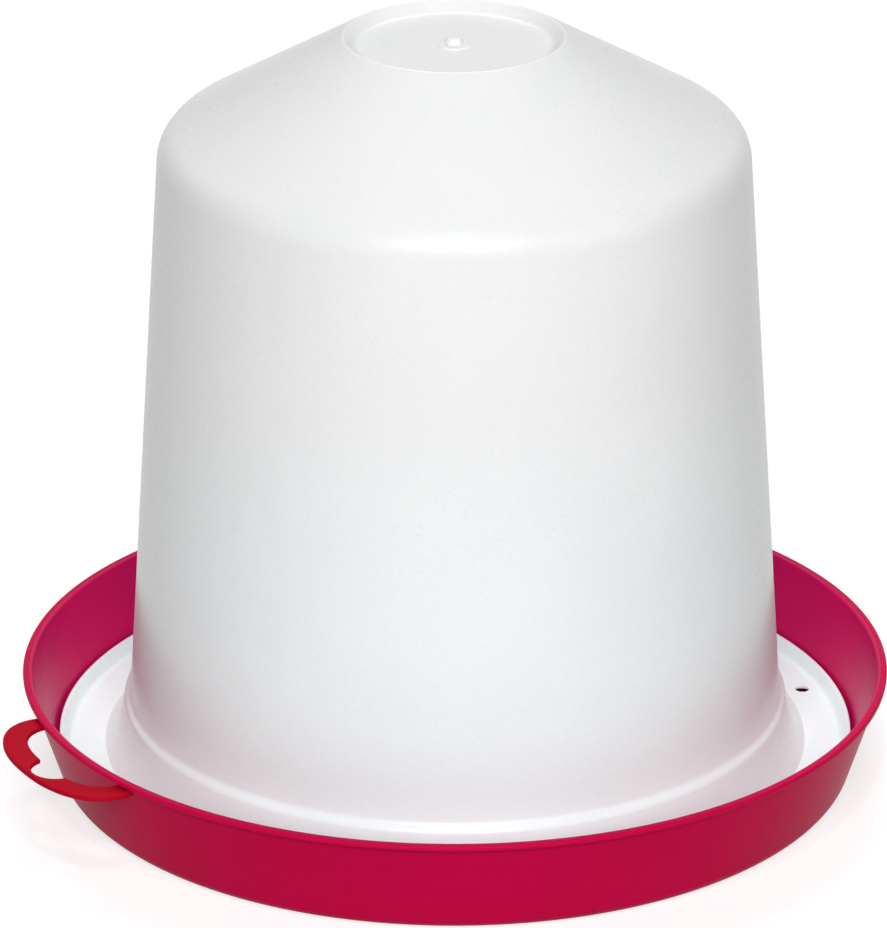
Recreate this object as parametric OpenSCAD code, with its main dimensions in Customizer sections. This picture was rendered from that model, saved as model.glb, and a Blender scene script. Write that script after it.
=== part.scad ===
// Poultry waterer fount: an upturned bell standing in a shallow drinking tray.
// Millimetres, +Z up. The origin is the centre of the face that the tray stands on.

/* [Tray] */
// Outside radius of the tray at its rim lip
tray_r = 165; // [155:1:190]
// Height of the tray, ground to the top of the rim lip
tray_h = 40.3; // [34:0.1:56]
// Thickness of the tray's wall and floor
tray_wall = 2.4; // [1.8:0.1:3]
// Lean of the tray's wall away from upright, in degrees
tray_flare = 16.25; // [10:0.25:20]
// Rounding where the tray's wall meets its foot
base_round = 4; // [1:0.5:6]
// Width of the ring that the tray stands on
foot_w = 17; // [12:1:24]
// Radius of the middle pad, which stands on the ground too
pad_r = 42; // [20:1:90]
// Height of the stiffening panel between the pad and the ring
panel_rise = 1.2; // [0.6:0.1:2]

/* [Rim lip] */
// How far the lip stands out from the wall
lip_out = 3.5; // [2:0.1:5]
// Height of the lip
lip_t = 3; // [2.4:0.1:5]
// Rounding of the lip's outer edges
lip_round = 1.3; // [0.4:0.1:1.4]
// Rounding of the lip's inner edge
rim_round = 2.5; // [0.5:0.1:3]

/* [Hanging ear] */
// Direction of the ear round the tray, in degrees from +X
ear_angle = 209.6; // [180:0.1:270]
// Half the angle that the ear takes up at the wall, in degrees
ear_half = 12.8; // [11:0.1:18]
// How far the ear reaches out from the wall
ear_reach = 22.8; // [20:0.1:30]
// Thickness of the ear
ear_t = 2.5; // [2:0.1:4]
// Width of the ear's bow outside the hand slot
ear_bow = 9; // [8:0.1:12]
// Width of each arm of the ear where it meets the wall
ear_arm = 3; // [2:0.1:6]
// Radius of the hook notch in the bow
notch_r = 9.6; // [6:0.1:10]
// How deep the notch goes into the bow
notch_depth = 6; // [3:0.1:6.5]

/* [Fount] */
// Height of the fount, underside of the brim to the crown's edge
fount_h = 285.3; // [200:0.1:340]
// Thickness of the fount's wall
fount_wall = 2.6; // [1.8:0.1:3.2]
// Radius of the upright wall at its foot
wall_r = 124.2; // [110:0.1:126]
// Draft of the upright wall, in degrees
wall_draft = 3.66; // [1:0.01:6]
// Slope of the roof above level, in degrees
roof_slope = 30.1; // [15:0.1:40]
// Rounding between the wall and the roof
shoulder_round = 14; // [5:0.5:35]
// Radius of the crown's edge
crown_r = 41; // [30:0.5:60]
// Depth of the dished crown
crown_depth = 4; // [2:0.1:7]
// How far the crown's edge leans in down to its floor
crown_lean = 2.4; // [1:0.1:6]
// Radius of the moulding stub in the middle of the crown
stub_r = 4.2; // [2:0.1:6]
// Height of the moulding stub
stub_h = 2; // [1:0.1:3]
// Radius of the shallow ring round the moulding stub
stub_ring_r = 6.4; // [6.2:0.1:12]

/* [Skirt and brim] */
// Width of the ledge at the foot of the wall
ledge_w = 1.7; // [1:0.1:3]
// Height of the ledge above the trough floor
skirt_h = 19.2; // [14:0.1:24]
// Height above the trough floor at which the skirt turns outward
knee_h = 6.4; // [4:0.1:9]
// How far the steep part of the skirt spreads
knee_spread = 2.4; // [1:0.1:4]
// How far the whole skirt spreads, ledge to trough floor
skirt_spread = 8.2; // [6:0.1:10]
// Rounding of the turn in the skirt
knee_round = 14; // [3:0.5:20]
// Height of the brim's outer lip above the trough floor
brim_lip_h = 4.8; // [3:0.1:7]
// Thickness of the brim's outer lip at its crest
brim_lip_t = 1.5; // [1:0.1:2]
// How far the lip's inner face leans out, floor to crest
brim_lip_lean = 2.6; // [1:0.1:4]
// Gap all round between the brim and the tray's wall
brim_gap = 1.1; // [0.6:0.1:3]

/* [Ports] */
// Radius of the feed port through the trough floor
feed_r = 2.7; // [1.5:0.1:4]
// Distance of the feed port from the axis
feed_place = 140.7; // [138:0.1:142]
// Radius of the level port through the skirt
level_r = 2.9; // [1.5:0.1:3.5]
// Height of the level port's centre above the trough floor
level_h = 10; // [8:0.1:11]
// Direction of both ports round the fount, in degrees from +X
port_angle = 16.3; // [0:0.1:20]

/* [Bayonet and brim rests] */
// Number of lugs in the fount's mouth, and of hooks on the tray
lug_count = 3; // [2:1:4]
// Angle taken up by each lug, in degrees
lug_arc = 9; // [5:0.5:12]
// How far a lug reaches in from the mouth's edge
lug_reach = 9; // [7:0.1:10]
// Thickness of a lug
lug_t = 2; // [1.6:0.1:2.2]
// Height of a lug's underside above that of the brim
lug_lift = 0.4; // [0.2:0.1:0.5]
// Angle taken up by each hook, in degrees
hook_arc = 13; // [12:0.5:18]
// Thickness of a hook's post and of its overhang
hook_t = 2.4; // [1.8:0.1:2.8]
// How far a hook's overhang covers its lug
hook_grip = 2.6; // [1.5:0.1:3]
// Running clearance between a hook and its lug
hook_gap = 0.6; // [0.4:0.1:0.8]
// Number of ribs that the brim stands on
rest_count = 6; // [3:1:12]
// Height of the ribs above the tray's floor
rest_h = 4.6; // [4.4:0.1:6]
// Width of each rib
rest_w = 3; // [2:0.1:5]
// Length of each rib
rest_l = 10; // [6:0.5:12]

/* [Hidden] */
$fn = 180;
ARC_STEPS = 10;
STOP_ARC = 1.2;
THROUGH = 1;

crimson = [0.70, 0.05, 0.22];
scarlet = [0.75, 0.07, 0.11];
white = [0.93, 0.94, 0.95];

lip_z = tray_h - lip_t;
wall_skin = tray_wall / cos(tray_flare);
base_r = wall_outside(0);
foot_in_r = base_r - base_round * tan(45 - tray_flare / 2) - foot_w;
panel_top = panel_rise + tray_wall;
brim_z = tray_wall + rest_h;
trough_z = brim_z + fount_wall;
ledge_z = trough_z + skirt_h;
crown_z = brim_z + fount_h;
ledge_r = wall_r + ledge_w;
skirt_r = ledge_r + skirt_spread;
brim_crest_z = trough_z + brim_lip_h;
brim_crest_r = brim_edge(brim_crest_z) - brim_lip_t;
shoulder_z = (crown_z - (wall_r + ledge_z * tan(wall_draft) - crown_r) * tan(roof_slope))
    / (1 - tan(wall_draft) * tan(roof_slope));
shoulder_r = wall_r - (shoulder_z - ledge_z) * tan(wall_draft);
mouth_r = offset_corner(bell_line(), 7, fount_wall)[0];
lug_in_r = mouth_r - lug_reach;
lug_top = brim_z + lug_lift + lug_t;
hook_out_r = lug_in_r + hook_grip;
hook_in_r = lug_in_r - hook_gap - hook_t;
lug_start = 90;
hook_start = lug_start + lug_arc + 2;
ear_top = lip_z;
slot_r = wall_outside(ear_top) + ear_reach - ear_bow;

// Radius of the tray's outer and inner wall faces at height z
function wall_outside(z) = tray_r - lip_out - (lip_z - z) * tan(tray_flare);
function wall_inside(z) = wall_outside(z) - wall_skin;

// Radius of the brim's outer edge, which follows the tray's wall
function brim_edge(z) = wall_inside(z) - brim_gap;

function unit(v) = v / norm(v);
function cross_2d(u, v) = u[0] * v[1] - u[1] * v[0];
function short_turn(a) = a > 180 ? a - 360 : a < -180 ? a + 360 : a;

// Points of the round at corner b of the line a-b-c. A round is held
// to what the two straights beside it leave room for.
function corner_round(a, b, c, radius) =
    let (
        to_a = unit(a - b),
        to_c = unit(c - b),
        half = acos(to_a * to_c) / 2,
        room = 0.48 * min(norm(a - b), norm(c - b)),
        run = min(radius / tan(half), room),
        r = run * tan(half),
        centre = b + unit(to_a + to_c) * r / sin(half),
        from = b + to_a * run - centre,
        to = b + to_c * run - centre,
        start = atan2(from[1], from[0]),
        sweep = short_turn(atan2(to[1], to[0]) - start)
    )
    [for (i = [0:ARC_STEPS])
        centre + r * [cos(start + sweep * i / ARC_STEPS), sin(start + sweep * i / ARC_STEPS)]];

// A line of [radius, height, rounding] corners with its corners rounded
function rounded(line) = [
    for (i = [0:len(line) - 1])
        let (p = [line[i][0], line[i][1]])
        each (i == 0 || i == len(line) - 1 || line[i][2] == 0
            ? [p]
            : corner_round([line[i - 1][0], line[i - 1][1]], p,
                [line[i + 1][0], line[i + 1][1]], line[i][2]))
];

// Corner i of a line moved to the inner side of a wall t thick, rounding included
function offset_corner(line, i, t) =
    let (
        p = [line[i][0], line[i][1]],
        before = i == 0 ? [1, 0] : unit(p - [line[i - 1][0], line[i - 1][1]]),
        after = unit([line[i + 1][0], line[i + 1][1]] - p),
        n0 = [before[1], -before[0]],
        n1 = [after[1], -after[0]],
        q = p + (n0 + n1) * t / (1 + n0 * n1),
        bend = cross_2d(before, after) < 0 ? -t : t
    )
    [q[0], q[1], line[i][2] == 0 ? 0 : max(line[i][2] + bend, 0.5)];

// The bell's outside from the crown's centre down to the trough floor
function bell_line() = [
    [0, crown_z - crown_depth, 0],
    [crown_r - crown_lean, crown_z - crown_depth, 1.6],
    [crown_r, crown_z, 0.9],
    [shoulder_r, shoulder_z, shoulder_round],
    [wall_r, ledge_z, 1.5],
    [ledge_r, ledge_z, 0.8],
    [ledge_r + knee_spread, trough_z + knee_h, knee_round],
    [skirt_r, trough_z, 0.3],
    [brim_crest_r - brim_lip_lean, trough_z, 2.2]
];

// The lip round the brim, crest to underside
function brim_lip_line() = [
    [brim_crest_r, brim_crest_z, brim_lip_t * 0.4],
    [brim_edge(brim_crest_z), brim_crest_z, brim_lip_t * 0.4],
    [brim_edge(brim_z), brim_z, 1]
];

module fount_shell() {
    outside = bell_line();
    inside = [for (i = [7:-1:0]) offset_corner(outside, i, fount_wall)];
    rotate_extrude() polygon(rounded(concat(outside, brim_lip_line(), inside)));
}

// Small upstand left by the mould's gate, in the middle of the crown
module moulding_stub() {
    crown_floor = crown_z - crown_depth;
    rotate_extrude() polygon(rounded([
        [0, crown_floor - fount_wall / 2, 0],
        [stub_ring_r, crown_floor - fount_wall / 2, 0],
        [stub_ring_r, crown_floor + 0.5, 0.3],
        [stub_r, crown_floor + 0.5, 0.3],
        [stub_r - 0.4, crown_floor + stub_h, 0.8],
        [0, crown_floor + stub_h, 0]
    ]));
}

// A block that fills part of a ring: a section swept through an angle
module ring_part(start, arc, section) {
    rotate([0, 0, start]) rotate_extrude(angle = arc) polygon(section);
}

module lug(start) {
    ring_part(start, lug_arc, [
        [lug_in_r, lug_top - lug_t],
        [mouth_r + fount_wall / 2, lug_top - lug_t],
        [mouth_r, lug_top],
        [lug_in_r, lug_top]
    ]);
}

module hook(start) {
    under = lug_top + hook_gap;
    over = under + hook_t;
    ring_part(start, hook_arc, [
        [hook_in_r, panel_top - THROUGH],
        [hook_in_r + hook_t, panel_top - THROUGH],
        [hook_in_r + hook_t, under],
        [hook_out_r, under],
        [hook_out_r, over],
        [hook_in_r, over]
    ]);
    ring_part(start + hook_arc - STOP_ARC - 0.2, STOP_ARC, [
        [hook_in_r + hook_t / 2, panel_top - THROUGH / 2],
        [hook_out_r - 0.3, panel_top - THROUGH / 2],
        [hook_out_r - 0.3, over - hook_t / 2],
        [hook_in_r + hook_t / 2, over - hook_t / 2]
    ]);
}

module brim_rest(angle) {
    rotate([0, 0, angle])
        translate([base_r - wall_skin - rest_l - 2, -rest_w / 2, tray_wall / 2])
            cube([rest_l, rest_w, brim_z - tray_wall / 2]);
}

module tray_shell() {
    rotate_extrude() polygon(rounded([
        [0, 0, 0],
        [pad_r, 0, 0.6],
        [pad_r + panel_rise, panel_rise, 1],
        [foot_in_r - panel_rise, panel_rise, 1],
        [foot_in_r, 0, 0.6],
        [base_r, 0, base_round],
        [wall_outside(lip_z), lip_z, 0.5],
        [tray_r, lip_z, lip_round],
        [tray_r, tray_h, lip_round],
        [wall_inside(tray_h), tray_h, rim_round],
        [wall_inside(tray_wall), tray_wall, base_round - 1],
        [foot_in_r + 0.5, tray_wall, 1],
        [foot_in_r - panel_rise, panel_top, 1],
        [pad_r + panel_rise, panel_top, 1],
        [pad_r, tray_wall, 1],
        [0, tray_wall, 0]
    ]));
}

module tray() {
    color(crimson) union() {
        tray_shell();
        for (i = [0:lug_count - 1]) hook(hook_start + i * 360 / lug_count);
        for (i = [0:rest_count - 1]) brim_rest((i + 0.5) * 360 / rest_count);
    }
}

// Outline of an arch that stands on the tray's wall: radius foot at the ends
// of its half angle, foot + rise in the middle, squarer as bulge grows
function arch(half_angle, foot, rise, bulge) = [
    for (i = [-40:40])
        let (
            s = i / 40,
            a = half_angle * sin(90 * s),
            r = foot + rise * pow(1 - pow(abs(a / half_angle), bulge), 1 / bulge)
        )
        r * [cos(a), sin(a)]
];

module ear_outline() {
    foot = wall_outside(ear_top - ear_t) - 1;
    arm_angle = asin(ear_arm / foot);
    difference() {
        polygon(concat([[foot * 0.9, 0]], arch(ear_half, foot, tray_reach(foot), 2.8)));
        polygon(concat([[foot * 0.8, 0]],
            arch(ear_half - arm_angle + 1, foot - 3, slot_r - foot + 3, 2.6)));
        translate([slot_r + notch_depth - notch_r, 0]) circle(notch_r);
    }
}

function tray_reach(foot) = wall_outside(ear_top) + ear_reach - foot;

module hanging_ear() {
    low = ear_top - ear_t;
    color(scarlet) rotate([0, 0, ear_angle]) difference() {
        translate([0, 0, low]) linear_extrude(ear_t) ear_outline();
        translate([0, 0, low - THROUGH])
            cylinder(h = ear_t + 2 * THROUGH,
                r1 = wall_outside(low - THROUGH), r2 = wall_outside(ear_top + THROUGH));
    }
}

module fount() {
    color(white) difference() {
        union() {
            fount_shell();
            moulding_stub();
            for (i = [0:lug_count - 1]) lug(lug_start + i * 360 / lug_count);
        }
        rotate([0, 0, port_angle]) {
            translate([feed_place, 0, brim_z - THROUGH])
                cylinder(h = fount_wall + 2 * THROUGH, r = feed_r, $fn = 48);
            translate([ledge_r - 2 * fount_wall, 0, trough_z + level_h])
                rotate([0, 90, 0]) cylinder(h = skirt_spread + 3 * fount_wall, r = level_r, $fn = 48);
        }
    }
}

tray();
hanging_ear();
fount();
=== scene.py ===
# %% [markdown]
# # A poultry waterer fount
# This lesson dresses a waterer for chickens: a white bell that holds the water, a crimson
# drinking tray that it stands in, and a scarlet ear by which the tray hangs on a hook.
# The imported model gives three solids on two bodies. They fix where everything is, so each
# visible surface is built at the same place, with +Z up. The solids could be shown as they
# are, but their round corners are cut into ten flats each, which shows as bands in soft light.
# Smoother surfaces of nearly the same sections are made here instead, and hide them. They lie
# within about 2 mm of the solids. Only the ear differs more, by up to 6 mm, at its notch and
# at the roots of its arms.

# %% The fixed frame
import math

import bmesh
import bpy
import numpy as np
from mathutils import Matrix, Vector


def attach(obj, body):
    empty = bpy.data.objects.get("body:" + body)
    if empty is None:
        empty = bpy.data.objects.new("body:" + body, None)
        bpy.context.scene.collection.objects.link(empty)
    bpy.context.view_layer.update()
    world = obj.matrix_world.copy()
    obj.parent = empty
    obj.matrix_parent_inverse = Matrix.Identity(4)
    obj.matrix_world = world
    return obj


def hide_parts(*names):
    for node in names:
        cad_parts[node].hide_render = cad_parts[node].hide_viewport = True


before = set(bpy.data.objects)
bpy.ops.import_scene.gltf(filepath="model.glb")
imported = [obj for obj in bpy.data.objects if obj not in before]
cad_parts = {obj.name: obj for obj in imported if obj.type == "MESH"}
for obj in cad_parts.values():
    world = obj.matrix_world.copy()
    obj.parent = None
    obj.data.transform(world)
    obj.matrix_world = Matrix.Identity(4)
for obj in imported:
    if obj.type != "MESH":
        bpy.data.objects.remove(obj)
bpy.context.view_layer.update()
MM = 0.001

# %% [markdown]
# ## The camera
# A photographer shoots a product like this from a few paces away with a long lens, looking
# down a little into the tray. A long lens keeps the wall's draft and the ellipse of the rim
# true. The camera could be aimed with a constraint, but a matrix of three axes is exact and
# leaves nothing live in the scene. The picture is 887 by 928 dots.

# %% Camera
FRAME_H = 928
LENS_DOTS = 6724  # the focal length in dots of the picture
SENSOR_MM = 24
SEES_TO = 50  # metres
CAMERA_AT = Vector((0.0, -2.34661, 1.09528))
LOOK_DOWN, PAN, ROLL = 0.3935, -0.0018, -0.0020


def camera_axes(down, pan, roll):
    """The camera looks along (sin pan cos down, cos pan cos down, -sin down). Right is that
    direction crossed with Z, up is right crossed with it, and both are turned by roll."""
    ahead = Vector((math.sin(pan) * math.cos(down), math.cos(pan) * math.cos(down), -math.sin(down)))
    right = ahead.cross(Vector((0, 0, 1))).normalized()
    up = right.cross(ahead)
    turned_right = right * math.cos(roll) + up * math.sin(roll)
    turned_up = up * math.cos(roll) - right * math.sin(roll)
    return turned_right, turned_up, ahead


camera_data = bpy.data.cameras.new("camera")
camera = bpy.data.objects.new("camera", camera_data)
bpy.context.scene.collection.objects.link(camera)
right, up, ahead = camera_axes(LOOK_DOWN, PAN, ROLL)
turned_camera = Matrix((right, up, -ahead)).transposed().to_4x4()
camera.matrix_world = Matrix.Translation(CAMERA_AT) @ turned_camera
camera_data.sensor_fit = "VERTICAL"
camera_data.sensor_height = SENSOR_MM
camera_data.lens = LENS_DOTS / FRAME_H * camera_data.sensor_height
camera_data.clip_end = SEES_TO
bpy.context.scene.camera = camera
print(f"lens {camera_data.lens:.1f} mm, {CAMERA_AT.length:.2f} m from the waterer")

# %% [markdown]
# ## Sections with rounded corners
# Every moulded wall here is round, so its shape is one section: a line of corners, each with
# a radius, in millimetres from the axis and above the ground. The rounds could come from a
# Bevel modifier, but a Bevel has one width for all, and a mould has its own radius in each
# corner. So the arcs are worked out on whole arrays. Straight runs get a support point close
# to both ends, which keeps the shading flat right up to the arc.

# %% Rounded lines
ARC_POINTS = 13
LARGEST_SHARE = 0.48  # of a side that one arc may use up
SHORT_RUN = 1.6  # mm; a shorter run gets no support points


def unit(v):
    return v / np.linalg.norm(v, axis=-1, keepdims=True)


def rounded(corners):
    """Each inner corner b of a-b-c becomes an arc. Its tangent points lie radius / tan(half the
    corner's angle) from b, or LARGEST_SHARE of the shorter side if that is less, and its
    centre lies on the bisector at radius / sin(half)."""
    corners = np.asarray(corners, float)
    at, radius = corners[:, :2], corners[1:-1, 2]
    b = at[1:-1]
    to_a, to_c = unit(at[:-2] - b), unit(at[2:] - b)
    half = np.arccos(np.clip((to_a * to_c).sum(1), -1, 1)) / 2
    back, on = np.linalg.norm(at[:-2] - b, axis=1), np.linalg.norm(at[2:] - b, axis=1)
    room = LARGEST_SHARE * np.minimum(back, on)
    run = np.minimum(radius / np.tan(half), room)
    r = run * np.tan(half)
    centre = b + unit(to_a + to_c) * (r / np.sin(half))[:, None]
    first, last = b + to_a * run[:, None] - centre, b + to_c * run[:, None] - centre
    start = np.arctan2(first[:, 1], first[:, 0])
    sweep = (np.arctan2(last[:, 1], last[:, 0]) - start + np.pi) % (2 * np.pi) - np.pi
    angle = start[:, None] + sweep[:, None] * np.linspace(0, 1, ARC_POINTS)
    arcs = centre[:, None] + r[:, None, None] * np.stack((np.cos(angle), np.sin(angle)), -1)
    return np.concatenate((at[:1], arcs.reshape(-1, 2), at[-1:]))


def split(line, parts, share):
    """Cuts segment i into parts[i] pieces; piece k of it starts at share(i, k) of its length."""
    which = np.repeat(np.arange(len(parts)), parts)
    k = np.arange(len(which)) - np.repeat(np.cumsum(parts) - parts, parts)
    cut = line[which] + share(which, k)[:, None] * np.diff(line, axis=0)[which]
    return np.concatenate((cut, line[-1:]))


def supported(line, near=0.3, longest=11.0):
    """Runs over SHORT_RUN get a point `near` both ends; all are then cut evenly to `longest`."""
    length = np.linalg.norm(np.diff(line, axis=0), axis=1)
    ends = np.array([0.0, near, -near])
    line = split(line, np.where(length > SHORT_RUN, 3, 1), lambda i, k: (ends[k] / length[i]) % 1)
    length = np.linalg.norm(np.diff(line, axis=0), axis=1)
    parts = np.maximum(1, np.ceil(length / longest)).astype(int)
    return split(line, parts, lambda i, k: k / parts[i])


# %% [markdown]
# ## Turning a section into a solid
# A lathe cuts a mould's core by turning, and the same works for a mesh. Blender has a Screw
# modifier and a Spin tool, but a grid of rings needs only one formula: ring i, place j goes
# to (r_i cos a_j, r_i sin a_j, h_i). The two ends of the line lie on the axis, and each
# becomes a single point, so that the surface is closed.

# %% Turned surfaces
AROUND = 280


def mesh_of(name, points, faces):
    """A smooth-shaded mesh from points in millimetres and a list of faces."""
    mesh = bpy.data.meshes.new(name)
    mesh.from_pydata((np.asarray(points, float) * MM).tolist(), [], faces)
    mesh.shade_smooth()
    mesh.validate()
    return mesh


def turned(name, line, around=AROUND):
    """x = r cos a, y = r sin a, z = h for each point (r, h) of the line and angle a. Faces look
    to the left of the line's run, so a top side runs outwards from the axis."""
    angle = np.arange(around) * 2 * np.pi / around
    r, h = line[1:-1, :1], line[1:-1, 1:]
    rings = np.stack((r * np.cos(angle), r * np.sin(angle), h + 0 * angle), -1).reshape(-1, 3)
    points = np.concatenate((rings, [[0, 0, line[0, 1]], [0, 0, line[-1, 1]]]))
    grid = np.arange(len(rings)).reshape(-1, around)
    here, along = grid[:-1], grid[1:]
    quads = np.stack((here, along, np.roll(along, -1, 1), np.roll(here, -1, 1)), -1).reshape(-1, 4)
    first, last = grid[0], grid[-1]
    start_fan = np.stack((np.full(around, len(rings)), first, np.roll(first, -1)), -1)
    end_fan = np.stack((last, np.full(around, len(rings) + 1), np.roll(last, -1)), -1)
    return mesh_of(name, points, quads.tolist() + start_fan.tolist() + end_fan.tolist())


def ring_block(name, section, start, arc, steps=12):
    """A closed section (r, h), counter-clockwise, carried round Z from start through arc
    degrees, with a flat face at both ends."""
    section = np.asarray(section, float)
    angle = np.radians(start + arc * np.linspace(0, 1, steps + 1))
    r, h = section[:, :1], section[:, 1:]
    points = np.stack((r * np.cos(angle), r * np.sin(angle), h + 0 * angle), -1).reshape(-1, 3)
    grid = np.arange(len(points)).reshape(len(section), -1)
    beyond = np.roll(grid, -1, 0)
    quads = np.stack((grid[:, :-1], grid[:, 1:], beyond[:, 1:], beyond[:, :-1]), -1).reshape(-1, 4)
    return mesh_of(name, points, quads.tolist() + [grid[:, 0].tolist(), grid[::-1, -1].tolist()])


# %% [markdown]
# ## Finishing a mesh
# Holes are drilled and edges eased with Boolean and Bevel modifiers, because they are local
# and small. The result is read back as a plain mesh and the helpers are deleted, so that a
# piece stays one clean object. Several closed shells that the mould makes in one shot, such
# as a wall and its ribs, are joined into one mesh.

# %% Mesh tools
SHARP_ANGLE = math.radians(40)
BEVEL_STEPS = 3


def placed(name, mesh):
    thing = bpy.data.objects.new(name, mesh)
    bpy.context.scene.collection.objects.link(thing)
    return thing


def finished(thing, name):
    """The object's mesh with its modifiers worked out; the object itself is removed."""
    bpy.context.view_layer.update()
    evaluated = thing.evaluated_get(bpy.context.evaluated_depsgraph_get())
    mesh = bpy.data.meshes.new_from_object(evaluated)
    mesh.name = name
    bpy.data.objects.remove(thing)
    return mesh


def eased(mesh, width):
    """Edges sharper than SHARP_ANGLE get a round of that width in mm, in BEVEL_STEPS."""
    thing = placed(mesh.name, mesh)
    bevel = thing.modifiers.new("eased edges", "BEVEL")
    bevel.width, bevel.segments = width * MM, BEVEL_STEPS
    bevel.limit_method, bevel.angle_limit = "ANGLE", SHARP_ANGLE
    return finished(thing, mesh.name)


def drilled(mesh, cutters):
    """The mesh less each cutter. The rims of the holes stay sharp."""
    thing = placed(mesh.name, mesh)
    tools = [placed("drill", cutter) for cutter in cutters]
    for tool in tools:
        cut = thing.modifiers.new("drill", "BOOLEAN")
        cut.operation, cut.solver, cut.object = "DIFFERENCE", "EXACT", tool
    result = finished(thing, mesh.name)
    for tool in tools:
        bpy.data.objects.remove(tool)
    result.set_sharp_from_angle(angle=SHARP_ANGLE)
    return result


def joined(name, *meshes):
    shell = bmesh.new()
    for mesh in meshes:
        shell.from_mesh(mesh)
    mesh = bpy.data.meshes.new(name)
    shell.to_mesh(mesh)
    shell.free()
    return mesh


# %% [markdown]
# ## Shared sizes
# The tray's wall leans outwards, and the fount's brim follows it with a running gap, so both
# pieces take their radii from the same two formulas. The radius and height are the solids'
# own. The wall is drawn thinner, leans out more and has a smaller lip than in the solids.

# %% Sizes of the tray's wall
TRAY_R, TRAY_H, TRAY_WALL = 165.0, 40.3, 2.0
LIP_T, LIP_OUT = 2.2, 2.0
LIP_Z = TRAY_H - LIP_T
LEAN = math.radians(18)
FLARE, SKIN = math.tan(LEAN), TRAY_WALL / math.cos(LEAN)
BRIM_GAP = 1.4


def wall_outside(z):
    return TRAY_R - LIP_OUT - (LIP_Z - z) * FLARE


def brim_edge(z):
    return wall_outside(z) - SKIN - BRIM_GAP


print(f"wall radius: {wall_outside(0):.2f} mm at the ground, {wall_outside(LIP_Z):.2f} mm under the lip")

# %% [markdown]
# ## The fount's bell
# The bell is blow-thin and deep: a dished crown, a sloping roof that sheds rain and keeps
# birds off, a soft shoulder, and a wall with a little draft so that it leaves the mould. At
# its foot a narrow ledge steps out to a skirt, and the skirt curls up into a brim that makes
# the drinking trough. The outside is one line of corners. The inside is the same line moved
# in by the wall's thickness at each corner, along the bisector, as a mould's core is cut.

# %% Bell sizes
FOUNT_WALL = 2.6
CROWN_Z, CROWN_DEPTH, CROWN_R, CROWN_LEAN = 292.3, 4.0, 41.0, 4.6
LEDGE_Z, LEDGE_R, WALL_R, LEDGE_DROP = 29.9, 126.5, 124.1, 2.2
SHOULDER_ROUND, KNEE_ROUND = 14, 14
KNEE_H, KNEE_SPREAD, SKIRT_SPREAD = 6.4, 1.8, 7.6
BRIM_Z, TROUGH_Z = 7.0, 9.6
BRIM_LIP_H, BRIM_LIP_T, BRIM_LIP_LEAN = 4.8, 1.5, 2.6
CREST_Z = TROUGH_Z + BRIM_LIP_H
CREST_R = brim_edge(CREST_Z) - BRIM_LIP_T
SKIRT_R, TROUGH_R = LEDGE_R + SKIRT_SPREAD, CREST_R - BRIM_LIP_LEAN
DRAFT, SLOPE = math.tan(math.radians(3.66)), math.tan(math.radians(30.1))
SHOULDER_Z = (CROWN_Z - (WALL_R + LEDGE_Z * DRAFT - CROWN_R) * SLOPE) / (1 - DRAFT * SLOPE)
SHOULDER_R = WALL_R - (SHOULDER_Z - LEDGE_Z) * DRAFT
CROWN_FLOOR = CROWN_Z - CROWN_DEPTH
print(f"shoulder at radius {SHOULDER_R:.1f} mm, {SHOULDER_Z:.1f} mm up; crest at radius {CREST_R:.1f} mm")

# %% Bell section
SKIRT_CORNER = 7  # the corner of the line where the skirt meets the trough
SMALLEST_ROUND = 0.5
bell_outside = np.array([
    [0, CROWN_FLOOR, 0],
    [CROWN_R - CROWN_LEAN, CROWN_FLOOR, 3],
    [CROWN_R, CROWN_Z, 1.6],
    [SHOULDER_R, SHOULDER_Z, SHOULDER_ROUND],
    [WALL_R, LEDGE_Z, 3],
    [LEDGE_R, LEDGE_Z - LEDGE_DROP, 3],
    [LEDGE_R + KNEE_SPREAD, TROUGH_Z + KNEE_H, KNEE_ROUND],
    [SKIRT_R, TROUGH_Z, 0.3],
    [TROUGH_R, TROUGH_Z, 2.2],
])
brim_lip = np.array([
    [CREST_R, CREST_Z, 0.6],
    [brim_edge(CREST_Z), CREST_Z, 0.6],
    [brim_edge(BRIM_Z), BRIM_Z, 1.0],
])


def inner_wall(line, thickness):
    """Corner i moves along the sum of its two sides' normals, n0 + n1, by thickness over
    1 + n0.n1. Its radius grows by the thickness at a hollow and shrinks at a bulge."""
    at = line[:, :2]
    side = unit(np.diff(at, axis=0))
    before = np.concatenate(([[1.0, 0.0]], side[:-1]))
    n0 = np.stack((before[:, 1], -before[:, 0]), -1)
    n1 = np.stack((side[:, 1], -side[:, 0]), -1)
    moved = at[:-1] + (n0 + n1) * thickness / (1 + (n0 * n1).sum(1, keepdims=True))
    hollow = before[:, 0] * side[:, 1] - before[:, 1] * side[:, 0] >= 0
    radius = np.maximum(line[:-1, 2] + np.where(hollow, thickness, -thickness), SMALLEST_ROUND)
    radius[0] = 0
    return np.concatenate((moved, radius[:, None]), 1)


bell_inside = inner_wall(bell_outside, FOUNT_WALL)
MOUTH_R = bell_inside[SKIRT_CORNER, 0]
bell_line = supported(rounded(np.concatenate((bell_outside, brim_lip, bell_inside[::-1]))))
print(f"bell section: {len(bell_line)} points, mouth {2 * MOUTH_R:.1f} mm across")

# %% [markdown]
# ## The fount's details
# Water reaches the trough through a small port near the skirt, and a second port in the
# skirt sets its level: when it is under water no air gets in, and the flow stops. Three lugs
# in the mouth lock under the tray's hooks. In the middle of the crown is the stub that the
# mould's gate leaves. The ports are drilled through the turned shell; the rest is joined on.
# Under the small port the trough is thinned to a web, so that one looks through it at the
# dark below and not at the port's white side.

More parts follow.
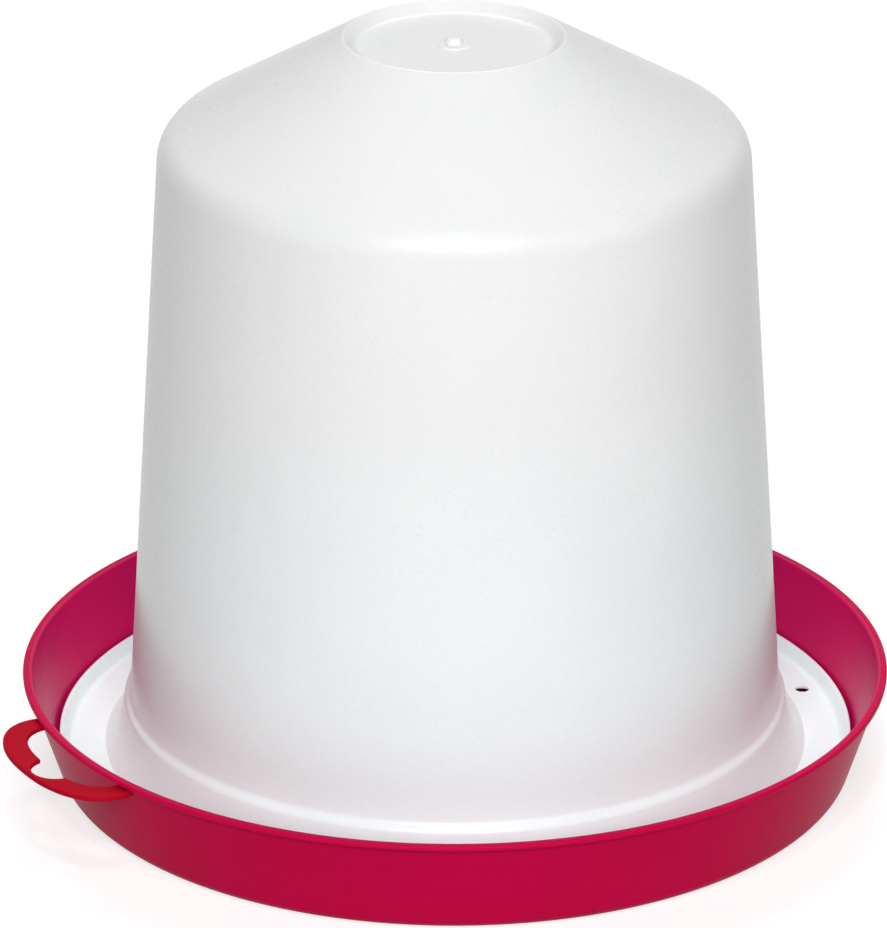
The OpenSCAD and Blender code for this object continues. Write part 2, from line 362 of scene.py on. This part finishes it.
# %% Ports
PORT_ANGLE, PORT_WEB = 16.3, 0.9
FEED_R, RELIEF_R = 2.7, 6
LEVEL_R, LEVEL_H, LEVEL_REACH = 2.9, 10, 15.4
THROUGH = 1  # mm that a bit goes beyond the surface
DRILL_AROUND = 64


def drill_bit(radius, low, high, place):
    """A cylinder on Z from low to high, moved by the matrix `place`, in millimetres."""
    side = np.array([[0, high], [radius, high], [radius, low], [0, low]], float)
    bit = turned("drill", side, DRILL_AROUND)
    move = place.copy()
    move.translation = place.translation * MM
    bit.transform(move)
    return bit


to_port = Matrix.Rotation(math.radians(PORT_ANGLE), 4, "Z")
port_place = to_port @ Matrix.Translation(((SKIRT_R + TROUGH_R) / 2, 0, 0))
feed_port = drill_bit(FEED_R, BRIM_Z - THROUGH, TROUGH_Z + THROUGH, port_place)
port_relief = drill_bit(RELIEF_R, BRIM_Z - 2 * THROUGH, TROUGH_Z - PORT_WEB, port_place)
in_skirt = Matrix.Translation((LEDGE_R - 2 * FOUNT_WALL, 0, TROUGH_Z + LEVEL_H))
laid_down = Matrix.Rotation(math.radians(90), 4, "Y")
level_port = drill_bit(LEVEL_R, 0, LEVEL_REACH, to_port @ in_skirt @ laid_down)
bell = drilled(turned("fount", bell_line), [feed_port, port_relief, level_port])
print(f"ports drilled at radius {port_place.translation.length:.1f} mm and {LEVEL_H} mm over the trough")

# %% Stub and lugs
STUB_TOP_R, STUB_R, STUB_H = 3, 3.4, 3
STUB_RING_R, STUB_RING_H, STUB_SUNK = 6.4, 0.5, 1.3
STUB_AROUND = 96
LUG_COUNT, LUG_START, LUG_ARC, LUG_REACH = 3, 90, 9, 9
LUG_LOW, LUG_TOP, LUG_ROOT = 7.4, 9.4, 1.3
LUG_IN_R = MOUTH_R - LUG_REACH
LUG_STEP = 360 // LUG_COUNT
EASE = 0.4

stub = turned("stub", supported(rounded([
    [0, CROWN_FLOOR + STUB_H, 0],
    [STUB_TOP_R, CROWN_FLOOR + STUB_H, 2.3],
    [STUB_R, CROWN_FLOOR + STUB_RING_H, 0.3],
    [STUB_RING_R, CROWN_FLOOR + STUB_RING_H, 0.3],
    [STUB_RING_R, CROWN_FLOOR - STUB_SUNK, 0.1],
    [0, CROWN_FLOOR - STUB_SUNK, 0],
])), STUB_AROUND)
lug_section = [[LUG_IN_R, LUG_LOW], [MOUTH_R + LUG_ROOT, LUG_LOW], [MOUTH_R, LUG_TOP], [LUG_IN_R, LUG_TOP]]
lugs = [eased(ring_block("lug", lug_section, LUG_START + i * LUG_STEP, LUG_ARC), EASE)
        for i in range(LUG_COUNT)]
fount = placed("fount_bell", joined("fount_bell", bell, stub, *lugs))
print(f"fount: {len(fount.data.polygons)} faces")

# %% [markdown]
# ## The tray
# The tray is a flared dish. It stands on a flat ring and a middle pad, and the panel between
# them is raised to stiffen the floor. The wall ends in a small lip that is folded outwards
# and makes the edge kind to the birds. The section is turned in the same way. It runs from
# the floor's middle up the inside, over the rim and back underneath, so it faces outwards.

# %% Tray section
BASE_R = wall_outside(0)
BASE_ROUND = 6.5
FOOT_W, FOOT_STEP = 15, 0.5
FOOT_IN_R = BASE_R - BASE_ROUND * math.tan(math.pi / 4 - LEAN / 2) - FOOT_W
PAD_R, PANEL = 42.0, 1.2
PANEL_TOP = PANEL + TRAY_WALL

tray_line = supported(rounded([
    [0, TRAY_WALL, 0],
    [PAD_R, TRAY_WALL, 1],
    [PAD_R + PANEL, PANEL_TOP, 1],
    [FOOT_IN_R - PANEL, PANEL_TOP, 1],
    [FOOT_IN_R + FOOT_STEP, TRAY_WALL, 1],
    [wall_outside(TRAY_WALL) - SKIN, TRAY_WALL, BASE_ROUND - TRAY_WALL],
    [wall_outside(TRAY_H) - SKIN, TRAY_H, 1.2],
    [TRAY_R, TRAY_H, 0.9],
    [TRAY_R, LIP_Z, 0.9],
    [wall_outside(LIP_Z), LIP_Z, 0.5],
    [BASE_R, 0, BASE_ROUND],
    [FOOT_IN_R, 0, 0.6],
    [FOOT_IN_R - PANEL, PANEL, 1],
    [PAD_R + PANEL, PANEL, 1],
    [PAD_R, 0, 0.6],
    [0, 0, 0],
]))
print(f"tray section: {len(tray_line)} points, foot ring {FOOT_IN_R:.1f} to {BASE_R:.1f} mm")

# %% [markdown]
# ## Hooks and rests in the tray
# Under the bell, three hooks catch its lugs when it is turned, each with a stop at its far
# end, and six short ribs carry the brim so that water can pass below it. They are blocks
# swept round the axis, with eased edges as a mould leaves them.

# %% Hooks and stops
HOOK_T, HOOK_ARC, HOOK_GRIP, HOOK_GAP, HOOK_ROOT = 2.4, 13, 2.6, 0.6, 2.2
HOOK_START = LUG_START + LUG_ARC + 2
HOOK_OUT, HOOK_IN = LUG_IN_R + HOOK_GRIP, LUG_IN_R - HOOK_GAP - HOOK_T
HOOK_UNDER = LUG_TOP + HOOK_GAP
HOOK_OVER = HOOK_UNDER + HOOK_T
STOP_ARC, STOP_BACK, STOP_ROOT = 1.2, 1.4, 2.7
STOP_SHY, STOP_INSET = 0.3, 1.2
STOP_START = HOOK_START + HOOK_ARC - STOP_BACK
FEW_STEPS = 2
hook_section = [[HOOK_IN, HOOK_ROOT], [HOOK_IN + HOOK_T, HOOK_ROOT], [HOOK_IN + HOOK_T, HOOK_UNDER],
                [HOOK_OUT, HOOK_UNDER], [HOOK_OUT, HOOK_OVER], [HOOK_IN, HOOK_OVER]]
stop_section = [[HOOK_IN + STOP_INSET, STOP_ROOT], [HOOK_OUT - STOP_SHY, STOP_ROOT],
                [HOOK_OUT - STOP_SHY, HOOK_OVER - STOP_INSET],
                [HOOK_IN + STOP_INSET, HOOK_OVER - STOP_INSET]]
hooks = [eased(ring_block("hook", hook_section, HOOK_START + i * LUG_STEP, HOOK_ARC), EASE)
         for i in range(LUG_COUNT)]
stops = [ring_block("stop", stop_section, STOP_START + i * LUG_STEP, STOP_ARC, FEW_STEPS)
         for i in range(LUG_COUNT)]
print(f"hooks: {len(hooks)}, under them {HOOK_UNDER - LUG_TOP:.1f} mm of play over a lug")

# %% Rests and the tray
REST_COUNT, REST_L, REST_W, REST_ROOT, REST_EASE = 6, 10, 3, 1, 0.3
REST_OUT = BASE_R - SKIN - 2
rest_section = [[REST_OUT - REST_L, REST_ROOT], [REST_OUT, REST_ROOT],
                [REST_OUT, BRIM_Z], [REST_OUT - REST_L, BRIM_Z]]
rest_arc = math.degrees(REST_W / (REST_OUT - REST_L / 2))
rest_step = 360 / REST_COUNT
rests = [eased(ring_block("rest", rest_section, (i + 0.5) * rest_step - rest_arc / 2, rest_arc, FEW_STEPS),
               REST_EASE) for i in range(REST_COUNT)]
tray = placed("drinking_tray", joined("drinking_tray", turned("tray", tray_line), *hooks, *stops, *rests))
print(f"tray: {len(tray.data.polygons)} faces")

# %% [markdown]
# ## The hanging ear
# The ear is a flat plate under the lip: a bow with a hand slot, and a round notch that
# centres it on a hook. Its outside and its slot are both arches on the tray's wall. It could
# be cut from a plate with Booleans, but then its edges would stay sharp. Instead a flat
# rounded section is carried along the bow, from the slot's outline to the outer outline.
# The solid has its notch in the middle of the bow. Here it lies 4.9 mm to one side.

# %% Ear sizes
EAR_ANGLE, EAR_HALF = 209.9, 13.3
EAR_T, EAR_EDGE, EAR_REACH, EAR_BOW, EAR_ARM = 2.0, 0.6, 21.9, 9.6, 6.7
EAR_DROP, EAR_SUNK, SLOT_SUNK = 0.8, 1, 10
EAR_TOP = LIP_Z - EAR_DROP
EAR_LOW = EAR_TOP - EAR_T
EAR_FOOT = wall_outside(EAR_LOW) - EAR_SUNK
EAR_R = wall_outside(EAR_TOP) + EAR_REACH
SLOT_R, SLOT_ROOT = EAR_R - EAR_BOW, EAR_FOOT - SLOT_SUNK
SLOT_HALF = EAR_HALF - math.degrees(math.asin(EAR_ARM / EAR_FOOT))
NOTCH_R, NOTCH_DEPTH, NOTCH_SIDE = 9.8, 7.5, 4.9
NOTCH_AT = SLOT_R + NOTCH_DEPTH - NOTCH_R
EAR_BULGE, SLOT_BULGE = 2.6, 3.3
EAR_STEPS = 361
MOST_OF_WIDTH = 0.45
print(f"ear: {EAR_R:.1f} mm out, slot {SLOT_HALF:.1f} degrees each way, notch centre {NOTCH_AT:.1f} mm out")


# %% Ear outlines
def arch(s, half, foot, rise, bulge):
    """Angle half sin(90 s) and radius foot + rise (1 - |angle/half|^bulge)^(1/bulge), s from
    -1 to 1: an arch that stands on the wall and is squarer the larger bulge is."""
    turn = np.sin(np.pi / 2 * s)
    return np.radians(half) * turn, foot + rise * (1 - np.abs(turn) ** bulge) ** (1 / bulge)


def notched(angle, radius):
    """The slot's radius, or the far side of the notch's circle where that is further out. A
    ray at angle a meets it at c cos(a - b) + sqrt(R^2 - (c sin(a - b))^2), centre at (c, b)."""
    away, beside = math.hypot(NOTCH_AT, NOTCH_SIDE), angle - math.atan2(NOTCH_SIDE, NOTCH_AT)
    across = away * np.sin(beside)
    reach = np.sqrt(np.maximum(NOTCH_R ** 2 - across ** 2, 0))
    circle = np.where(np.abs(across) < NOTCH_R, away * np.cos(beside) + reach, 0)
    return np.maximum(radius, circle)


def polar(angle, radius):
    return np.stack((radius * np.cos(angle), radius * np.sin(angle)), -1)


def edge_loop(radius, thickness, steps=5):
    """A flat section as (share of the width, extra mm, height): four quarter rounds."""
    turn = np.linspace(0, np.pi / 2, steps)
    curve, rise = radius * (1 - np.cos(turn)), radius * (1 - np.sin(turn))
    inner_top = np.stack((0 * turn, curve, thickness - rise), -1)
    outer_top = np.stack((0 * turn + 1, -curve[::-1], thickness - rise[::-1]), -1)
    outer_low = np.stack((0 * turn + 1, -curve, rise), -1)
    inner_low = np.stack((0 * turn, curve[::-1], rise[::-1]), -1)
    return np.concatenate((inner_top, outer_top, outer_low, inner_low))


along_bow = np.linspace(-1, 1, EAR_STEPS)
outer = polar(*arch(along_bow, EAR_HALF, EAR_FOOT, EAR_R - EAR_FOOT, EAR_BULGE))
slot_angle, slot_radius = arch(along_bow, SLOT_HALF, SLOT_ROOT, SLOT_R - SLOT_ROOT, SLOT_BULGE)
inner = polar(slot_angle, np.maximum(notched(slot_angle, slot_radius), EAR_FOOT))
width = np.linalg.norm(outer - inner, axis=1)
print(f"ear outlines: {len(outer)} points each, narrowest {width.min():.2f} mm")

# %% Ear
NUDGE = [[1e-6, 0]]  # gives the two ends, where the outlines meet, a direction

loop = edge_loop(EAR_EDGE, EAR_T)
shrink = np.minimum(1, width * MOST_OF_WIDTH / EAR_EDGE)[:, None, None]
across = (outer - inner)[:, None] * loop[None, :, :1]
edge_shift = unit(outer - inner + NUDGE)[:, None] * loop[None, :, 1:2] * shrink
flat = inner[:, None] + across + edge_shift
heights = np.broadcast_to(EAR_LOW + loop[None, :, 2:], flat.shape[:2] + (1,))
ear_points = np.concatenate((flat, heights), -1)
grid = np.arange(ear_points.shape[0] * len(loop)).reshape(-1, len(loop))
beside = np.roll(grid, -1, 1)
quads = np.stack((grid[:-1], beside[:-1], beside[1:], grid[1:]), -1).reshape(-1, 4)
end_caps = [grid[0, ::-1].tolist(), grid[-1].tolist()]
ear_mesh = mesh_of("hanging_ear", ear_points.reshape(-1, 3), quads.tolist() + end_caps)
ear_mesh.transform(Matrix.Rotation(math.radians(EAR_ANGLE), 4, "Z"))
ear = placed("hanging_ear_plate", ear_mesh)
print(f"ear: {len(ear.data.polygons)} faces")

# %% [markdown]
# ## Colours and nodes
# Colours are written as the sRGB hex values that a colour chart gives, and one function turns
# them to the linear values that Blender calculates with. A material is a small graph, and one
# function adds a node, its settings and its links, so that each graph reads as a list.

# %% Helpers for materials
def linear(code):
    """sRGB to linear: c / 12.92 below 0.04045, otherwise ((c + 0.055) / 1.055) ^ 2.4."""
    c = np.array([int(code[i:i + 2], 16) for i in (1, 3, 5)]) / 255
    return (*np.where(c <= 0.04045, c / 12.92, ((c + 0.055) / 1.055) ** 2.4).tolist(), 1.0)


def add_node(tree, kind, settings=None, inputs=None):
    """One node. An input is a value, or a pair (node, output name) that is linked to it."""
    made = tree.nodes.new(kind)
    for name, value in (settings or {}).items():
        setattr(made, name, value)
    for name, value in (inputs or {}).items():
        if isinstance(value, tuple) and isinstance(value[0], bpy.types.Node):
            tree.links.new(value[0].outputs[value[1]], made.inputs[name])
        else:
            made.inputs[name].default_value = value
    return made


def blank_material(name):
    material = bpy.data.materials.new(name)
    material.use_nodes = True
    material.node_tree.nodes.clear()
    return material, material.node_tree


def per_mm(size):
    """Noise scale, in cells per metre, for cells of that size in millimetres."""
    return 1000 / size


# %% [markdown]
# ## Moulded polyethylene
# All three pieces are high-density polyethylene, IOR 1.54. Its mould is spark-eroded, which
# leaves a fine orange-peel grain, so the gloss is soft and a little broken up. It is also
# slightly clouded, so light spreads a few millimetres inside white walls. Flow lines vary the
# colour slowly over several centimetres. The real grain is about 0.3 mm, too fine to show at
# this distance, so it is drawn at 1.1 mm. The gloss varies with the grain only a little,
# because a wide range of gloss shows as dark specks.
# The bell's white is painted a little cooler and lighter near the brim than up the wall. This is painted
# light, which offsets the red light that the tray casts on the foot and the shade there. The tray's inside
# is a glossier red than its outside, and bluer with painted cool shade.

# %% The recipe for polyethylene
GRAIN_MM = 1.1
FAINTEST, STRONGEST = 0.36, 0.64  # the usual range of flow and grain together
GRAIN_LOW, GRAIN_HIGH = 0.3, 0.7  # the usual range of the grain alone
# Between these two heights the bell's painted foot light, a cooler and lighter white, fades into the wall's
# white.
PAINTED_FOOT_FADE_FROM, PAINTED_FOOT_FADE_TO = 0.04, 0.18  # metres above the ground
GLOSS_BELOW, GLOSS_ABOVE = 0.02, 0.03
HDPE_IOR = 1.54
LIGHT_SPREADS = 3 * MM


def moulded_polyethylene(name, light, dark, roughness, shine, flow_mm, peel, soft=0.0, tint_above_painted_foot="#FFFFFF"):
    """Colour runs between dark and light with flow marks and grain. It is multiplied by the tint given for
    above the foot, which comes in from the lower of the two fade heights and is full from the higher one
    upwards. Lower down, the white keeps a painted cooler, lighter light. The grain also lifts the surface
    by a share of `peel` millimetres and varies the gloss."""
    material, tree = blank_material(name)
    place = add_node(tree, "ShaderNodeTexCoord")
    flow = add_node(tree, "ShaderNodeTexNoise", None,
                    {"Vector": (place, "Object"), "Scale": per_mm(flow_mm), "Detail": 3.0})
    grain = add_node(tree, "ShaderNodeTexNoise", None,
                     {"Vector": (place, "Object"), "Scale": per_mm(GRAIN_MM), "Detail": 2.0,
                      "Roughness": 0.6})
    marks = add_node(tree, "ShaderNodeMath", {"operation": "MULTIPLY_ADD"},
                     {0: (flow, "Fac"), 1: 0.5, 2: 0.0})
    both = add_node(tree, "ShaderNodeMath", {"operation": "MULTIPLY_ADD"},
                    {0: (grain, "Fac"), 1: 0.5, 2: (marks, 0)})
    spread = add_node(tree, "ShaderNodeMapRange", None,
                      {"Value": (both, 0), "From Min": FAINTEST, "From Max": STRONGEST})
    colour = add_node(tree, "ShaderNodeMix", {"data_type": "RGBA"},
                      {"Factor": (spread, "Result"), "A": linear(dark), "B": linear(light)})
    # Painted light: the tint is multiplied in only higher up, so the bell's foot stays cooler and lighter,
    # against the tray's red light and the shade there.
    parts = add_node(tree, "ShaderNodeSeparateXYZ", None, {"Vector": (place, "Object")})
    high = add_node(tree, "ShaderNodeMapRange", None,
                    {"Value": (parts, "Z"), "From Min": PAINTED_FOOT_FADE_FROM, "From Max": PAINTED_FOOT_FADE_TO})
    colour_with_painted_foot = add_node(tree, "ShaderNodeMix", {"data_type": "RGBA", "blend_type": "MULTIPLY"},
                      {"Factor": (high, "Result"), "A": (colour, "Result"), "B": linear(tint_above_painted_foot)})
    gloss = add_node(tree, "ShaderNodeMapRange", None,
                     {"Value": (grain, "Fac"), "From Min": GRAIN_LOW, "From Max": GRAIN_HIGH,
                      "To Min": roughness - GLOSS_BELOW, "To Max": roughness + GLOSS_ABOVE})
    relief = add_node(tree, "ShaderNodeBump", None,
                      {"Height": (grain, "Fac"), "Strength": 0.5, "Distance": peel * MM})
    skin = add_node(tree, "ShaderNodeBsdfPrincipled", None,
                    {"Base Color": (colour_with_painted_foot, "Result"), "Roughness": (gloss, "Result"),
                     "Normal": (relief, "Normal"), "IOR": HDPE_IOR, "Specular IOR Level": shine,
                     "Subsurface Weight": soft, "Subsurface Scale": LIGHT_SPREADS,
                     "Subsurface Radius": (1.0, 1.0, 1.0)})
    add_node(tree, "ShaderNodeOutputMaterial", None, {"Surface": (skin, "BSDF")})
    return material


# %% The four finishes
# The bell's white is painted cooler and lighter at its foot than up the wall. This is painted light against
# the tray's red light and the shade at the foot.
white_hdpe = moulded_polyethylene(
    "white HDPE, fine grain", "#F4FEFF", "#EEF9FA", roughness=0.29, shine=0.28, flow_mm=70, peel=0.014,
    soft=0.1, tint_above_painted_foot="#FFF5F5")
crimson_hdpe = moulded_polyethylene(
    "crimson HDPE, outside", "#D00A4B", "#CA0948", roughness=0.34, shine=0.02, flow_mm=50, peel=0.014)
# The inside has a real higher gloss than the outside, and a bluer red that is painted cool shade.
crimson_core_painted_cool = moulded_polyethylene(
    "crimson HDPE, inside", "#CD0D5B", "#C60C58", roughness=0.3, shine=0.07, flow_mm=50, peel=0.006)
scarlet_hdpe = moulded_polyethylene(
    "scarlet HDPE, soft gloss", "#BC0C28", "#B50B26", roughness=0.36, shine=0.008, flow_mm=40, peel=0.014)
fount.data.materials.append(white_hdpe)
tray.data.materials.append(crimson_hdpe)
tray.data.materials.append(crimson_core_painted_cool)
ear.data.materials.append(scarlet_hdpe)
print("materials:", [m.name for m in (white_hdpe, crimson_hdpe, crimson_core_painted_cool, scarlet_hdpe)])

# %% The tray's inside
INSIDE_SHARE = 0.6  # of the wall's thickness, inwards from its outer face


def face_values(mesh, name):
    """One row (x, y, z) for each face: its centre or its normal."""
    values = np.empty(len(mesh.polygons) * 3)
    mesh.polygons.foreach_get(name, values)
    return values.reshape(-1, 3)


centre, normal = face_values(tray.data, "center"), face_values(tray.data, "normal")
radius, height = np.hypot(centre[:, 0], centre[:, 1]) / MM, centre[:, 2] / MM
# The inside faces get the inside finish: a real higher gloss, and a bluer red that is painted cool shade.
is_inside = (normal[:, 2] > 0) & (radius < wall_outside(height) - SKIN * INSIDE_SHARE)
tray.data.polygons.foreach_set("material_index", is_inside.astype(np.int32))
print(f"{is_inside.sum()} of the tray's faces have the inside finish")

# %% [markdown]
# ## Joining the pieces to the frame
# Each surface takes the place of its solid and rides on that solid's body. The bell then lifts out of the
# tray when the frame's joint moves.

# %% Bodies and slots
for piece, node, body, finish in (
        (fount, "fount", "fount_body", "fount"),
        (tray, "tray", "tray_body", "tray"),
        (ear, "hanging_ear", "tray_body", "ear")):
    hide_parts(node)
    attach(piece, body)
    print(piece.name, "replaces", node, "and rides on", body)

# %% [markdown]
# ## Floor
# The waterer stands on a pale floor. To a camera and in reflections a little light of its own
# makes the floor white. That light isn't cast on the object, and the soft shadow stays.

# %% Floor
FLOOR_HALF = 8000
FLOOR_COLOUR, FLOOR_GLOW = "#BCBCBC", 0.66


def seen_directly(tree):
    """1 for the camera's rays, reflections and rays through glass, and 0 for light cast."""
    path = add_node(tree, "ShaderNodeLightPath")
    seen = add_node(tree, "ShaderNodeMath", {"operation": "MAXIMUM"},
                    {0: (path, "Is Camera Ray"), 1: (path, "Is Glossy Ray")})
    return add_node(tree, "ShaderNodeMath", {"operation": "MAXIMUM"},
                    {0: (seen, 0), 1: (path, "Is Transmission Ray")})


floor_material, tree = blank_material("pale floor")
seen = seen_directly(tree)
glow = add_node(tree, "ShaderNodeMath", {"operation": "MULTIPLY"}, {0: (seen, 0), 1: FLOOR_GLOW})
sheet = add_node(tree, "ShaderNodeBsdfDiffuse", None, {"Color": linear(FLOOR_COLOUR)})
light = add_node(tree, "ShaderNodeEmission", None, {"Strength": (glow, 0)})
lit_floor = add_node(tree, "ShaderNodeAddShader", None, {0: (sheet, "BSDF"), 1: (light, "Emission")})
add_node(tree, "ShaderNodeOutputMaterial", None, {"Surface": (lit_floor, "Shader")})

floor_corners = FLOOR_HALF * np.array([[-1, -1, 0], [1, -1, 0], [1, 1, 0], [-1, 1, 0]])
floor_mesh = mesh_of("floor", floor_corners, [[0, 1, 2, 3]])
floor_mesh.materials.append(floor_material)
floor = placed("floor", floor_mesh)
print(f"floor {floor_mesh.materials[0].name}, {2 * FLOOR_HALF * MM:.0f} m across")

# %% [markdown]
# ## World
# The world is white to a camera and in reflections, and dark as a light. So the lamps alone
# light the waterer, apart from what it reflects.

# %% World
world = bpy.data.worlds.new("studio")
world.use_nodes = True
world.node_tree.nodes.clear()
bpy.context.scene.world = world
seen = seen_directly(world.node_tree)
sky = add_node(world.node_tree, "ShaderNodeBackground", None, {"Strength": (seen, 0)})
add_node(world.node_tree, "ShaderNodeOutputWorld", None, {"Surface": (sky, "Background")})
print("world:", world.name)

# %% [markdown]
# ## Lamps
# Five soft boxes stand on a sphere of 6 m round the waterer. The broad front box is behind
# the camera and a little above it, so the wall is bright in the middle and falls off to both
# sides. A small box high at the front adds the short streak of light on the shoulder. Weak
# boxes at the left and right keep the edges from going dark, and one behind lights the roof
# and the crown. A spot lamp would give the wall a hard edge.

# %% Lamps
LAMP_AWAY = 6
AIM_AT = Vector((0, 0, 0.12))


def soft_box(name, azimuth, elevation, width, height, watts):
    """A rectangle lamp on the sphere, aimed at AIM_AT. Azimuth is turned from the front,
    positive to the right."""
    a, e = math.radians(azimuth), math.radians(elevation)
    lamp_data = bpy.data.lights.new(name, "AREA")
    lamp_data.shape, lamp_data.energy = "RECTANGLE", watts
    lamp_data.size, lamp_data.size_y = width, height
    lamp = bpy.data.objects.new(name, lamp_data)
    toward = Vector((math.sin(a) * math.cos(e), -math.cos(a) * math.cos(e), math.sin(e)))
    aimed = toward.to_track_quat("Z", "Y").to_matrix().to_4x4()
    lamp.matrix_world = Matrix.Translation(AIM_AT + toward * LAMP_AWAY) @ aimed
    bpy.context.scene.collection.objects.link(lamp)
    return lamp


LAMPS = (  # name, azimuth, elevation, width, height, watts
    ("front box", 0, 32, 4.0, 2.8, 296),
    ("glint box", 0, 63, 0.3, 0.24, 34),
    ("left box", -70, 25, 3.0, 3.0, 18),
    ("right box", 56, 25, 3.0, 3.0, 35),
    ("back box", 180, 50, 3.0, 3.0, 158),
)
for lamp_row in LAMPS:
    lamp = soft_box(*lamp_row)
    print(lamp.name, [round(v, 2) for v in lamp.matrix_world.translation], lamp.data.energy, "W")

# %% [markdown]
# ## Colour management
# The Standard view shows a colour as it is written, which a catalogue picture needs.

# %% View
bpy.context.scene.view_settings.view_transform = "Standard"
